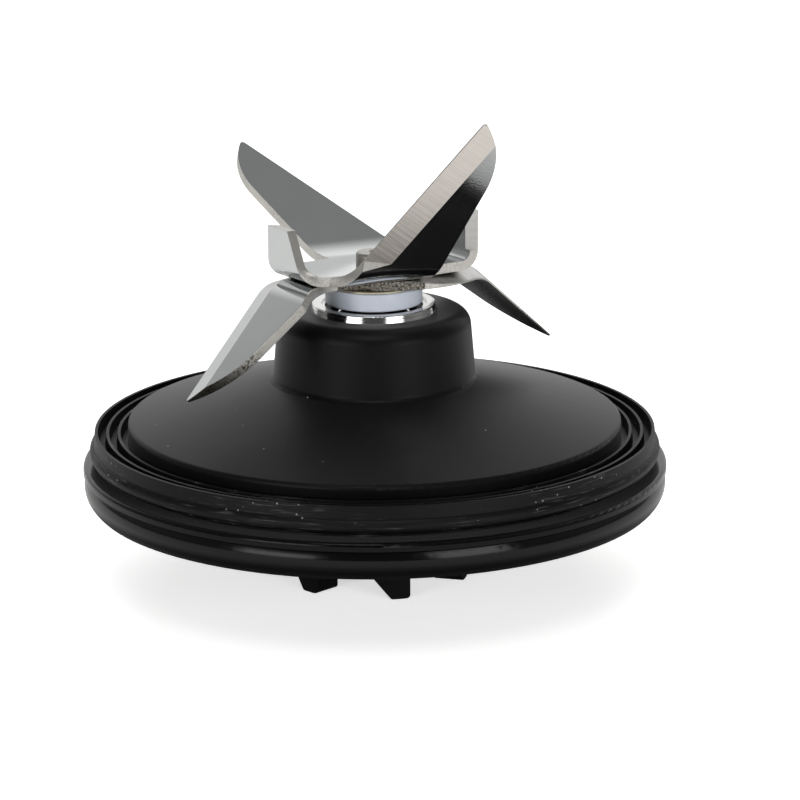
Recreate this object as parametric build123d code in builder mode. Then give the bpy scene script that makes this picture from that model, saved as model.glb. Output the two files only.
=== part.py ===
from build123d import *
import os
from math import atan, cos, radians, sin, sqrt, tan

# Blender blade assembly: two folded sheet blades on a spindle that turns in a domed jar base.
# The origin is on the spindle axis at the tips of the drive dogs, +Z is up and -Y is the front.

# Fits
slide_gap = 0.05
running_gap = 0.04
seal_gap = 0.08
free_gap = 0.3

# Drive coupling
dog_count = 6
dog_height = 7.3
dog_tip_width = 3.0
dog_ramp = 5.7
dog_tip_fillet = 0.6
dog_inner_radius = 10.0
first_dog_angle = 15.5
coupling_radius = 14.4
coupling_thickness = 7.0
coupling_edge = 0.8
insert_across_flats = 11.0
coupling_gap = 3.5

# Spindle
spindle_radius = 4.0
thread_radius = 3.0
thread_recess = 0.8
tenon_radius = 2.4
tenon_flats = 3.6
head_radius = 2.7
head_height = 1.8
head_edge = 0.5
dimple_radius = 0.9
dimple_depth = 0.5

# Washers and clip that hold the spindle up
clip_radius = 6.4
clip_thickness = 1.0
clip_groove_depth = 0.6
clip_opening = 5.0
shim_radius = 6.4
shim_thickness = 0.3
thrust_radius = 7.0
thrust_thickness = 0.8

# Bearing sleeve and what it holds
sleeve_radius = 8.8
sleeve_length = 22.0
sleeve_flange_radius = 9.7
sleeve_flange_height = 1.1
sleeve_flange_taper = 0.25
sleeve_flange_edge = 0.2
sleeve_flange_groove = 0.12
sleeve_lip_width = 1.7
sleeve_step = 0.4
bush_radius = 6.0
bush_length = 8.0
seal_radius = 7.5
seal_height = 2.2
seal_drop = 0.4
seal_wall = 0.9
seal_floor = 0.7
spring_wire_radius = 0.4
o_ring_radius = 0.55
o_ring_squeeze = 0.04
o_ring_groove_width = 1.5
o_ring_depth_below_hub = 4.0
nut_across_flats = 22.0
nut_thickness = 3.0
nut_inset = 0.5

# Housing
flange_width = 7.0
flange_thickness = 1.3
flange_edge = 0.6
dome_radius = 38.0
dome_wall_height = 6.4
dome_edge = 0.7
dome_rise = 6.5
hub_hollow = 1.05
hub_draft = 0.9
hub_height = 10.6
hub_root_fillet = 1.0
hub_top_fillet = 2.4
housing_wall = 2.4
boss_wall = 2.4
rib_count = 8
rib_thickness = 1.6
rib_lift = 0.6

# Base ring
base_ring_height = 4.5
bead_inset = 0.2
bead_centre_height = 1.8
bead_foot_inset = 1.3
bead_top_inset = 0.5
seam_height = 0.3
seam_depth = 0.7
ring_wall = 3.4
web_thickness = 2.0
web_drop = 0.5
opening_radius = 20.0
opening_rim = 1.5
register_height = 1.5
register_wall = 2.0

# Base screws
screw_count = 4
screw_circle_radius = 28.5
screw_first_angle = 22.5
screw_radius = 1.5
screw_length = 8.0
screw_head_radius = 2.8
screw_head_height = 1.7
screw_slot_width = 0.7
screw_slot_depth = 0.9
screw_hole_gap = 0.3
post_wall = 2.1
post_hole_spare = 0.8

# Jar gasket
gasket_foot_width = 3.5
gasket_foot_height = 1.6
gasket_ridge_width = 5.8
gasket_ridge_height = 1.0
gasket_body_height = 3.1
gasket_rim_height = 5.0
gasket_lip_height = 4.75
gasket_lip_count = 3
gasket_first_lip = 1.4
gasket_lip_pitch = 1.75
gasket_lip_tip = 0.45
gasket_lip_root = 0.85

# Spacer and washer under the blades
spacer_lift = 0.1
spacer_radius = 7.45
spacer_height = 2.75
spacer_edge = 0.3
blade_washer_radius = 7.0
blade_washer_thickness = 0.25

# Blades
blade_thickness = 1.5
cutting_edge = 0.25
bevel_run_out = 1.2
fold_slices = 5

# Upper blade: wings
wing_heading = -68.5
wing_fold_distance = 8.9
steep_fold_radius = 4.0
shallow_fold_radius = 12.0
steep_wing_angle = 61.6
shallow_wing_angle = 29.1
steep_wing_length = 29.1
shallow_wing_length = 28.2
wing_front_root = -7.9
steep_wing_front_slope = 0.584
shallow_wing_front_slope = 0.612
wing_back_root = 6.1
wing_back_slope = 0.294
wing_back_straight = 16.8
wing_bevel = 3.3
wing_tip_fillet = 0.5

# Upper blade: tabs
tab_heading = 213.5
tab_fold_distance = 13.9
tab_fold_radius = 1.5
tab_angle = 90.0
near_tab_length = 7.3
far_tab_length = 8.4
tab_front_root = -6.9
tab_front_slope = 0.0
tab_back_root = 2.3
tab_back_slope = -0.51
tab_corner = 0.15
tab_bevel = 1.3
waist_depth = 0.2

# Lower blade
low_wing_heading = 217.2
low_wing_fold_distance = 14.9
low_wing_fold_radius = 6.5
low_wing_angle = 36.5
low_wing_length = 23.75
low_wing_front_root = -8.25
low_wing_front_slope = 0.247
low_wing_back_root = 5.0
low_wing_back_slope = -0.057
low_wing_back_straight = 11.9
low_wing_bevel = 3.75
low_wing_tip_fillet = 0.5
low_wing_fold_flare = 0.55
far_low_wing_twist = 1.5
far_low_wing_angle = 36.3
far_low_wing_length = 23.1
low_waist_out = 8.3
low_waist_across = 1.3
low_hip_out = 3.8
low_hip_across = 5.0
low_shoulder_out = -3.0
low_shoulder_across = 8.8
low_plate_bevel_length = 14.0

# Heights, each stacked on the one before
coupling_top = dog_height + coupling_thickness
clip_bottom = coupling_top + coupling_gap
shim_bottom = clip_bottom + clip_thickness
thrust_bottom = shim_bottom + shim_thickness
sleeve_bottom = thrust_bottom + thrust_thickness + free_gap
hub_top = sleeve_bottom + sleeve_length
sleeve_top = hub_top + sleeve_flange_height
spacer_bottom = sleeve_top + spacer_lift
blade_washer_bottom = spacer_bottom + spacer_height
low_blade_bottom = blade_washer_bottom + blade_washer_thickness
up_blade_bottom = low_blade_bottom + blade_thickness
head_bottom = up_blade_bottom + blade_thickness
crease_height = hub_top - hub_height
dome_edge_height = crease_height - dome_rise
flange_top = dome_edge_height - dome_wall_height
flange_bottom = flange_top - flange_thickness
ring_bottom = flange_bottom - base_ring_height
web_top = flange_bottom - web_drop
web_bottom = web_top - web_thickness
nut_top = sleeve_bottom + nut_inset + nut_thickness
rib_bottom = nut_top + rib_lift
seal_seat = sleeve_top - sleeve_step - seal_drop - seal_height

# Radii that follow from the fits
sleeve_bore = sleeve_radius + slide_gap
flange_radius = dome_radius + flange_width
bead_radius = flange_radius - bead_inset
bead_foot_radius = flange_radius - bead_foot_inset
bead_top_radius = flange_radius - bead_top_inset
housing_inner_radius = dome_radius - housing_wall
boss_radius = sleeve_bore + boss_wall
hub_inner_radius = boss_radius + hub_hollow
hub_top_radius = hub_inner_radius + housing_wall
hub_root_radius = hub_top_radius + hub_draft
post_radius = screw_radius + post_wall
groove_radius = spindle_radius - clip_groove_depth
o_ring_groove_radius = sleeve_bore - 2 * o_ring_radius - o_ring_squeeze

os.makedirs("parts", exist_ok=True)


def ring(inner, outer, bottom, height):
    """Plain round ring on the spindle axis."""
    with BuildPart() as plain:
        with BuildSketch(Plane.XY.offset(bottom)):
            Circle(outer)
            Circle(inner, mode=Mode.SUBTRACT)
        extrude(amount=height)
    return plain.part


class Arm:
    """One folded arm of a sheet blade, with its edges as lines across and out from its fold."""

    def __init__(self, heading, distance, radius, angle, side, middle, front, back, flare=0):
        self.outward = Vector(1, 0, 0).rotate(Axis.Z, heading)
        self.across = self.outward.rotate(Axis.Z, 90)
        self.upward = Vector(0, 0, side)
        self.angle = angle
        self.side = side
        self.mean_radius = radius + blade_thickness / 2
        self.reach = self.mean_radius * tan(radians(angle / 2))
        self.fold = self.outward * distance + Vector(0, 0, middle)
        self.front_root, self.front_slope = front
        self.back_root, self.back_slope = back
        self.flare = flare

    def front(self, out):
        """Where the front edge is, across the arm."""
        return self.front_root + self.front_slope * out

    def back(self, out):
        """Where the back edge is, across the arm; it draws in through the fold where it flares."""
        drawn_in = self.flare * max(self.reach - out, 0)
        return self.back_root + self.back_slope * out - drawn_in

    def along(self, turn):
        """Direction out along the sheet after a turn about the fold."""
        return self.outward * cos(radians(turn)) + self.upward * sin(radians(turn))

    def convex(self, turn):
        """Direction out of the sheet's convex face after a turn about the fold."""
        return self.outward * sin(radians(turn)) - self.upward * cos(radians(turn))

    def flat_section(self, out, turn):
        """Plane across the flat sheet, at a distance out from the fold line."""
        along = self.along(turn)
        return Plane(self.fold + along * out, self.across, along)

    def fold_section(self, share):
        """Plane across the sheet part of the way round the fold."""
        turn = self.angle * share
        centre = self.fold - self.outward * self.reach + self.upward * self.mean_radius
        return Plane(centre + self.convex(turn) * self.mean_radius, self.across, self.along(turn))

    def sheet(self):
        """Plane of the folded sheet, across and out, on the face that it is extruded from."""
        normal = self.across.cross(self.along(self.angle))
        return Plane(self.fold - normal * (blade_thickness / 2), self.across, normal)

    def root(self, edge):
        """Plan point where an edge of the flat plate meets the fold."""
        point = self.fold - self.outward * self.reach + self.across * edge(-self.reach)
        return (point.X, point.Y)

    def bevel_across(self, bevel):
        """Width of the ground bevel, measured across the arm."""
        return bevel * sqrt(1 + self.front_slope**2)

    def slice(self, plane, points):
        """Face on a section plane from points across the arm and towards the convex face."""
        with BuildSketch(plane) as face:
            with BuildLine():
                Polyline(*[(across, -self.side * depth) for across, depth in points], close=True)
            make_face()
        return face.sketch

    def fold_slice(self, share, bevel):
        """Cross-section of the sheet in the fold, with a ground front edge where it has a bevel."""
        out = self.reach * (2 * share - 1)
        half = blade_thickness / 2
        front = self.front(out)
        back = self.back(out)
        points = [(front, -half), (front, half), (back, half), (back, -half)]
        if bevel:
            ground = front + self.bevel_across(bevel)
            points[1:2] = [(front, cutting_edge - half), (ground, half)]
        return self.slice(self.fold_section(share), points)

    def fold_part(self, bevel=0):
        """The sheet round the fold."""
        with BuildPart() as fold:
            loft([self.fold_slice(step / (fold_slices - 1), bevel) for step in range(fold_slices)])
        return fold.part

    def grind_slice(self, out, turn, bevel, lift=0, face=1):
        """Cross-section of what the grinding takes off the front edge; face -1 is the concave face."""
        half = blade_thickness / 2
        depth = blade_thickness - cutting_edge
        width = self.bevel_across(bevel)
        low = (self.front(out) - width, face * (cutting_edge - half - depth + lift))
        high = (self.front(out) + 2 * width, face * (half + depth + lift))
        return self.slice(self.flat_section(out, turn), [low, high, (low[0], high[1])])


def opposite(heading):
    """The heading on the other side of the axis."""
    return heading + 180


def tenon_hole(bottom):
    """Hole for the spindle's flattened tenon through a blade."""
    with BuildPart() as hole:
        with BuildSketch(Plane.XY.offset(bottom)):
            Circle(tenon_radius + slide_gap)
            Rectangle(2 * spindle_radius, tenon_flats + 2 * slide_gap, mode=Mode.INTERSECT)
        extrude(amount=blade_thickness)
    return hole.part


def wing_part(arm, length, back_straight, tip_fillet):
    """Flat pointed wing: straight front edge, and a back edge that curves round to the tip."""
    tip = (arm.front(length), length)
    shoulder = (arm.back(back_straight), back_straight)
    with BuildPart() as wing:
        with BuildSketch(arm.sheet()) as outline:
            with BuildLine():
                base = Line((arm.front(arm.reach), arm.reach), (arm.back(arm.reach), arm.reach))
                Line(base @ 1, shoulder)
                TangentArc(shoulder, tip, tangent=(arm.back_slope, 1))
                Line(tip, base @ 0)
            make_face()
            fillet(outline.vertices().sort_by_distance(tip)[0], tip_fillet)
        extrude(amount=blade_thickness)
    return wing.part


# Spindle: journal, threaded foot, clip groove, flattened tenon and riveted head
head_top = head_bottom + head_height
thread_bottom = dog_height + thread_recess
with BuildPart() as spindle:
    with BuildSketch(Plane.XZ) as spindle_profile:
        with BuildLine():
            Polyline(
                (0, thread_bottom),
                (thread_radius, thread_bottom),
                (thread_radius, coupling_top),
                (spindle_radius, coupling_top),
                (spindle_radius, clip_bottom),
                (groove_radius, clip_bottom),
                (groove_radius, shim_bottom),
                (spindle_radius, shim_bottom),
                (spindle_radius, blade_washer_bottom),
                (tenon_radius, blade_washer_bottom),
                (tenon_radius, head_bottom),
                (head_radius, head_bottom),
                (head_radius, head_top),
                (dimple_radius, head_top),
                (0, head_top - dimple_depth),
                close=True,
            )
        make_face()
        fillet(spindle_profile.vertices().sort_by_distance((head_radius, head_top))[0], head_edge)
    revolve(axis=Axis.Z)
    with BuildSketch(Plane.XY.offset(low_blade_bottom)):
        Circle(head_radius)
        Rectangle(2 * head_radius, tenon_flats, mode=Mode.SUBTRACT)
    extrude(amount=head_bottom - low_blade_bottom, mode=Mode.SUBTRACT)
spindle.part.label = "spindle"
export_step(spindle.part, "parts/spindle.step")

# Upper blade: a plate with two wings and two tabs folded up
up_middle = up_blade_bottom + blade_thickness / 2
wing_back_edge = (wing_back_root, wing_back_slope)
tab_edges = ((tab_front_root, tab_front_slope), (tab_back_root, tab_back_slope))
steep_wing, shallow_wing = [
    Arm(heading, wing_fold_distance, radius, angle, 1, up_middle, (wing_front_root, slope), wing_back_edge)
    for heading, radius, angle, slope in (
        (wing_heading, steep_fold_radius, steep_wing_angle, steep_wing_front_slope),
        (opposite(wing_heading), shallow_fold_radius, shallow_wing_angle, shallow_wing_front_slope),
    )
]
near_tab, far_tab = [
    Arm(heading, tab_fold_distance, tab_fold_radius, tab_angle, 1, up_middle, *tab_edges)
    for heading in (tab_heading, opposite(tab_heading))
]


def ground_wing(arm, length):
    """Upper wing with the bevel ground on its convex face."""
    with BuildPart() as wing:
        add(wing_part(arm, length, wing_back_straight, wing_tip_fillet))
        cuts = [
            arm.grind_slice(arm.reach, arm.angle, wing_bevel, blade_thickness),
            arm.grind_slice(arm.reach + bevel_run_out, arm.angle, wing_bevel),
            arm.grind_slice(length + wing_bevel, arm.angle, wing_bevel),
        ]
        loft(cuts, ruled=True, mode=Mode.SUBTRACT)
    return wing.part


def tab_part(arm, length):
    """Flat tab above its fold, with its front edge ground on the inside."""
    with BuildPart() as tab:
        with BuildSketch(arm.sheet()) as outline:
            with BuildLine():
                Polyline(
                    (arm.front(arm.reach), arm.reach),
                    (arm.back(arm.reach), arm.reach),
                    (arm.back(length), length),
                    (arm.front(length), length),
                    close=True,
                )
            make_face()
            fillet(outline.vertices().group_by(Axis.Y)[-1], tab_corner)
        extrude(amount=blade_thickness)
        cuts = [
            arm.grind_slice(out, arm.angle, tab_bevel, face=-1) for out in (arm.reach, length + tab_bevel)
        ]
        loft(cuts, ruled=True, mode=Mode.SUBTRACT)
    return tab.part


def waist(start, end):
    """Point that hollows the plate's edge between two arms."""
    chord = Vector(*end) - Vector(*start)
    inward = chord.rotate(Axis.Z, 90).normalized()
    middle = Vector(*start) + chord * 0.5 + inward * waist_depth
    return (middle.X, middle.Y)


with BuildPart() as upper_blade:
    with BuildSketch(Plane.XY.offset(up_blade_bottom)):
        with BuildLine():
            for wing, tab, last_tab in ((steep_wing, far_tab, near_tab), (shallow_wing, near_tab, far_tab)):
                wing_front, wing_back = wing.root(wing.front), wing.root(wing.back)
                tab_front, tab_back = tab.root(tab.front), tab.root(tab.back)
                Line(last_tab.root(last_tab.back), wing_front)
                Line(wing_front, wing_back)
                ThreePointArc(wing_back, waist(wing_back, tab_front), tab_front)
                Line(tab_front, tab_back)
        make_face()
    extrude(amount=blade_thickness)
    for wing, length in ((steep_wing, steep_wing_length), (shallow_wing, shallow_wing_length)):
        add(wing.fold_part())
        add(ground_wing(wing, length))
    for tab, length in ((near_tab, near_tab_length), (far_tab, far_tab_length)):
        add(tab.fold_part())
        add(tab_part(tab, length))
    add(tenon_hole(up_blade_bottom), mode=Mode.SUBTRACT)
upper_blade.part.label = "upper_blade"
export_step(upper_blade.part, "parts/upper_blade.step")

# Lower blade: a plate with two wings folded down, ground along their front edges through the folds
low_middle = low_blade_bottom + blade_thickness / 2
low_edges = ((low_wing_front_root, low_wing_front_slope), (low_wing_back_root, low_wing_back_slope))


def turned(edge, twist):
    """An edge of the lower sheet, as it lies from a fold line that is turned about the axis."""
    root, slope = edge
    start = Vector(low_wing_fold_distance, root).rotate(Axis.Z, -twist)
    turned_slope = tan(atan(slope) - radians(twist))
    return (start.Y + turned_slope * (low_wing_fold_distance - start.X), turned_slope)


low_wings = [
    Arm(
        heading + twist,
        low_wing_fold_distance,
        low_wing_fold_radius,
        angle,
        -1,
        low_middle,
        *[turned(edge, twist) for edge in low_edges],
        low_wing_fold_flare,
    )
    for heading, twist, angle in (
        (low_wing_heading, 0, low_wing_angle),
        (opposite(low_wing_heading), far_low_wing_twist, far_low_wing_angle),
    )
]


def plate_point(wing, out, across):
    """Plan point on the plate, by its distances out and across from the axis."""
    point = wing.outward * out + wing.across * across
    return (point.X, point.Y)


with BuildPart() as lower_blade:
    with BuildSketch(Plane.XY.offset(low_blade_bottom)):
        with BuildLine():
            for wing, other in zip(low_wings, reversed(low_wings)):
                waist_point = plate_point(wing, low_waist_out, low_waist_across)
                hip = plate_point(wing, low_hip_out, low_hip_across)
                shoulder = plate_point(wing, low_shoulder_out, low_shoulder_across)
                Line(wing.root(wing.front), wing.root(wing.back))
                ThreePointArc(wing.root(wing.back), waist_point, hip)
                ThreePointArc(hip, shoulder, other.root(other.front))
        make_face()
    extrude(amount=blade_thickness)
    for wing in low_wings:
        plate_cuts = [
            wing.grind_slice(-wing.reach - low_plate_bevel_length, 0, low_wing_bevel),
            wing.grind_slice(-wing.reach, 0, low_wing_bevel),
        ]
        loft(plate_cuts, ruled=True, mode=Mode.SUBTRACT)
    add(tenon_hole(low_blade_bottom), mode=Mode.SUBTRACT)
    for wing, length in zip(low_wings, (low_wing_length, far_low_wing_length)):
        with BuildPart(mode=Mode.PRIVATE) as low_wing:
            add(wing_part(wing, length, low_wing_back_straight, low_wing_tip_fillet))
            wing_cuts = [
                wing.grind_slice(wing.reach, wing.angle, low_wing_bevel),
                wing.grind_slice(length + low_wing_bevel, wing.angle, low_wing_bevel),
            ]
            loft(wing_cuts, ruled=True, mode=Mode.SUBTRACT)
        add(wing.fold_part(low_wing_bevel))
        add(low_wing.part)
lower_blade.part.label = "lower_blade"
export_step(lower_blade.part, "parts/lower_blade.step")

# Thin washer between the spacer and the lower blade
with BuildPart() as blade_washer:
    add(ring(tenon_radius + slide_gap, blade_washer_radius, blade_washer_bottom, blade_washer_thickness))
blade_washer.part.label = "blade_washer"
export_step(blade_washer.part, "parts/blade_washer.step")

# White spacer pushed on the spindle's top
with BuildPart() as blade_spacer:
    add(ring(spindle_radius + slide_gap, spacer_radius, spacer_bottom, spacer_height))
    fillet(blade_spacer.edges().filter_by(GeomType.CIRCLE).group_by(SortBy.RADIUS)[-1], spacer_edge)
blade_spacer.part.label = "blade_spacer"
export_step(blade_spacer.part, "parts/blade_spacer.step")

# Bearing sleeve: tube with a tapered, grooved flange, a stepped mouth for the seal and an o-ring groove
o_ring_height = hub_top - o_ring_depth_below_hub
o_ring_low = o_ring_height - o_ring_groove_width / 2
o_ring_high = o_ring_height + o_ring_groove_width / 2
flange_top_radius = sleeve_flange_radius - sleeve_flange_taper
flange_groove_radius = sleeve_flange_radius - sleeve_flange_taper / 2
sleeve_lip_radius = sleeve_flange_radius - sleeve_lip_width
groove_low = hub_top + (sleeve_flange_height - sleeve_flange_groove) / 2
groove_high = groove_low + sleeve_flange_groove
groove_floor = flange_groove_radius - sleeve_flange_groove
seal_bore = seal_radius + slide_gap
bush_bore = bush_radius + slide_gap
with BuildPart() as bearing_sleeve:
    with BuildSketch(Plane.XZ) as sleeve_profile:
        with BuildLine():
            Polyline(
                (bush_bore, sleeve_bottom),
                (sleeve_radius, sleeve_bottom),
                (sleeve_radius, o_ring_low),
                (o_ring_groove_radius, o_ring_low),
                (o_ring_groove_radius, o_ring_high),
                (sleeve_radius, o_ring_high),
                (sleeve_radius, hub_top),
                (sleeve_flange_radius, hub_top),
                (flange_groove_radius, groove_low),
                (groove_floor, groove_low),
                (groove_floor, groove_high),
                (flange_groove_radius, groove_high),
                (flange_top_radius, sleeve_top),
                (sleeve_lip_radius, sleeve_top),
                (sleeve_lip_radius, sleeve_top - sleeve_step),
                (seal_bore, sleeve_top - sleeve_step),
                (seal_bore, seal_seat),
                (bush_bore, seal_seat),
                close=True,
            )
        make_face()
        for corner_radius in (flange_top_radius, sleeve_lip_radius):
            corner = sleeve_profile.vertices().sort_by_distance((corner_radius, sleeve_top))[0]
            fillet(corner, sleeve_flange_edge)
    revolve(axis=Axis.Z)
bearing_sleeve.part.label = "bearing_sleeve"
export_step(bearing_sleeve.part, "parts/bearing_sleeve.step")

# Sintered bushes at both ends of the sleeve
spindle_bore = spindle_radius + running_gap
with BuildPart() as lower_bush:
    add(ring(spindle_bore, bush_radius, sleeve_bottom, bush_length))
lower_bush.part.label = "lower_bush"
export_step(lower_bush.part, "parts/lower_bush.step")

with BuildPart() as upper_bush:
    add(ring(spindle_bore, bush_radius, seal_seat - bush_length, bush_length))
upper_bush.part.label = "upper_bush"
export_step(upper_bush.part, "parts/upper_bush.step")

# Oil felt that fills the sleeve between the bushes
felt_bottom = sleeve_bottom + bush_length
with BuildPart() as oil_felt:
    add(ring(spindle_radius + free_gap, bush_radius, felt_bottom, seal_seat - bush_length - felt_bottom))
oil_felt.part.label = "oil_felt"
export_step(oil_felt.part, "parts/oil_felt.step")

# Shaft seal: a rubber cup whose inner lip runs on the spindle
lip_inner = spindle_radius + seal_gap
lip_outer = lip_inner + seal_wall
seal_top = seal_seat + seal_height
with BuildPart() as shaft_seal:
    with BuildSketch(Plane.XZ):
        with BuildLine():
            Polyline(
                (lip_inner, seal_seat),
                (seal_radius, seal_seat),
                (seal_radius, seal_top),
                (seal_radius - seal_wall, seal_top),
                (seal_radius - seal_wall, seal_seat + seal_floor),
                (lip_outer, seal_seat + seal_floor),
                (lip_outer, seal_top),
                (lip_inner, seal_top),
                close=True,
            )
        make_face()
    revolve(axis=Axis.Z)
shaft_seal.part.label = "shaft_seal"
export_step(shaft_seal.part, "parts/shaft_seal.step")

# Garter spring round the seal's lip
with BuildPart() as seal_spring:
    with Locations((0, 0, seal_seat + seal_floor + spring_wire_radius)):
        Torus(lip_outer + slide_gap + spring_wire_radius, spring_wire_radius)
seal_spring.part.label = "seal_spring"
export_step(seal_spring.part, "parts/seal_spring.step")

# O-ring in the sleeve's groove
with BuildPart() as sleeve_o_ring:
    with Locations((0, 0, o_ring_height)):
        Torus(o_ring_groove_radius + o_ring_squeeze / 2 + o_ring_radius, o_ring_radius)
sleeve_o_ring.part.label = "sleeve_o_ring"
export_step(sleeve_o_ring.part, "parts/sleeve_o_ring.step")

# Nut that holds the sleeve in the housing
with BuildPart() as sleeve_nut:
    with BuildSketch(Plane.XY.offset(nut_top)):
        RegularPolygon(nut_across_flats / 2, 6, major_radius=False)
        Circle(sleeve_bore, mode=Mode.SUBTRACT)
    extrude(amount=-nut_thickness)
sleeve_nut.part.label = "sleeve_nut"
export_step(sleeve_nut.part, "parts/sleeve_nut.step")

# Washers under the lower bush, and the clip in the spindle's groove
with BuildPart() as thrust_washer:
    add(ring(spindle_radius + slide_gap, thrust_radius, thrust_bottom, thrust_thickness))
thrust_washer.part.label = "thrust_washer"
export_step(thrust_washer.part, "parts/thrust_washer.step")

with BuildPart() as shim_washer:
    add(ring(spindle_radius + slide_gap, shim_radius, shim_bottom, shim_thickness))
shim_washer.part.label = "shim_washer"
export_step(shim_washer.part, "parts/shim_washer.step")

with BuildPart() as retaining_clip:
    add(ring(groove_radius + slide_gap, clip_radius, clip_bottom, clip_thickness))
    with BuildSketch(Plane.XY.offset(clip_bottom)):
        Rectangle(clip_radius, clip_opening, align=(Align.MIN, Align.CENTER))
    extrude(amount=clip_thickness, mode=Mode.SUBTRACT)
retaining_clip.part.label = "retaining_clip"
export_step(retaining_clip.part, "parts/retaining_clip.step")

# Hollow under the dome, less the ribs and screw posts that stand in it
screw_angles = dict(start_angle=screw_first_angle)
hub_ceiling = hub_top - housing_wall
with BuildPart() as housing_hollow:
    with BuildSketch(Plane.XZ):
        with BuildLine():
            Polyline(
                (0, flange_bottom),
                (housing_inner_radius, flange_bottom),
                (housing_inner_radius, dome_edge_height - housing_wall),
                (hub_inner_radius, crease_height - housing_wall),
                (hub_inner_radius, hub_ceiling),
                (boss_radius, hub_ceiling),
                (boss_radius, nut_top),
                (0, nut_top),
                close=True,
            )
        make_face()
    revolve(axis=Axis.Z)
    with BuildSketch(Plane.XY.offset(rib_bottom)):
        with PolarLocations(0, rib_count):
            Rectangle(flange_radius, rib_thickness, align=(Align.MIN, Align.CENTER))
        Circle(boss_radius, mode=Mode.SUBTRACT)
    extrude(amount=hub_top - rib_bottom, mode=Mode.SUBTRACT)
    with BuildSketch(Plane.XY.offset(web_top)):
        with PolarLocations(screw_circle_radius, screw_count, **screw_angles):
            Circle(post_radius)
    extrude(amount=crease_height - web_top, mode=Mode.SUBTRACT)

# Housing: dome, hub and gasket flange in one moulding
with BuildPart() as dome_housing:
    with BuildSketch(Plane.XZ) as dome_profile:
        with BuildLine():
            Polyline(
                (sleeve_bore, flange_bottom),
                (flange_radius, flange_bottom),
                (flange_radius, flange_top),
                (dome_radius, flange_top),
                (dome_radius, dome_edge_height),
                (hub_root_radius, crease_height),
                (hub_top_radius, hub_top),
                (sleeve_bore, hub_top),
                close=True,
            )
        make_face()
        for corner, radius in (
            ((flange_radius, flange_top), flange_edge),
            ((dome_radius, dome_edge_height), dome_edge),
            ((hub_root_radius, crease_height), hub_root_fillet),
            ((hub_top_radius, hub_top), hub_top_fillet),
        ):
            fillet(dome_profile.vertices().sort_by_distance(corner)[0], radius)
    revolve(axis=Axis.Z)
    add(housing_hollow.part, mode=Mode.SUBTRACT)
    with BuildSketch(Plane.XY.offset(web_top)):
        with PolarLocations(screw_circle_radius, screw_count, **screw_angles):
            Circle(post_radius)
    extrude(amount=flange_bottom - web_top)
    with BuildSketch(Plane.XY.offset(web_top)):
        with PolarLocations(screw_circle_radius, screw_count, **screw_angles):
            Circle(screw_radius + slide_gap)
    extrude(amount=screw_length - web_thickness + post_hole_spare, mode=Mode.SUBTRACT)
dome_housing.part.label = "dome_housing"
export_step(dome_housing.part, "parts/dome_housing.step")

# Base ring: outer bead, web with the coupling's opening, and a register inside the housing
register_radius = housing_inner_radius - slide_gap
with BuildPart() as base_ring:
    with BuildSketch(Plane.XZ):
        with BuildLine():
            bead = ThreePointArc(
                (bead_foot_radius, ring_bottom),
                (bead_radius, ring_bottom + bead_centre_height),
                (bead_top_radius, flange_bottom - seam_height),
            )
            Polyline(
                bead @ 1,
                (bead_top_radius - seam_depth, flange_bottom - seam_height),
                (bead_top_radius - seam_depth, flange_bottom),
                (register_radius, flange_bottom),
                (register_radius, flange_bottom + register_height),
                (register_radius - register_wall, flange_bottom + register_height),
                (register_radius - register_wall, web_top),
                (opening_radius, web_top),
                (opening_radius, ring_bottom),
                (opening_radius + opening_rim, ring_bottom),
                (opening_radius + opening_rim, web_bottom),
                (bead_foot_radius - ring_wall, web_bottom),
                (bead_foot_radius - ring_wall, ring_bottom),
                bead @ 0,
            )
        make_face()
    revolve(axis=Axis.Z)
    with BuildSketch(Plane.XY.offset(web_bottom)):
        with PolarLocations(screw_circle_radius, screw_count, **screw_angles):
            Circle(screw_radius + screw_hole_gap)
    extrude(amount=web_thickness, mode=Mode.SUBTRACT)
base_ring.part.label = "base_ring"
export_step(base_ring.part, "parts/base_ring.step")

# Screws that hold the base ring to the housing's posts
with BuildPart() as base_screws:
    with BuildSketch(Plane.XY.offset(web_bottom)):
        with PolarLocations(screw_circle_radius, screw_count, **screw_angles):
            Circle(screw_head_radius)
    extrude(amount=-screw_head_height)
    with BuildSketch(Plane.XY.offset(web_bottom)):
        with PolarLocations(screw_circle_radius, screw_count, **screw_angles):
            Circle(screw_radius)
    extrude(amount=screw_length)
    with BuildSketch(Plane.XY.offset(web_bottom - screw_head_height)):
        with PolarLocations(screw_circle_radius, screw_count, **screw_angles):
            Rectangle(2 * screw_radius, screw_slot_width)
            Rectangle(screw_slot_width, 2 * screw_radius)
    extrude(amount=screw_slot_depth, mode=Mode.SUBTRACT)
base_screws.part.label = "base_screws"
export_step(base_screws.part, "parts/base_screws.step")

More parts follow.
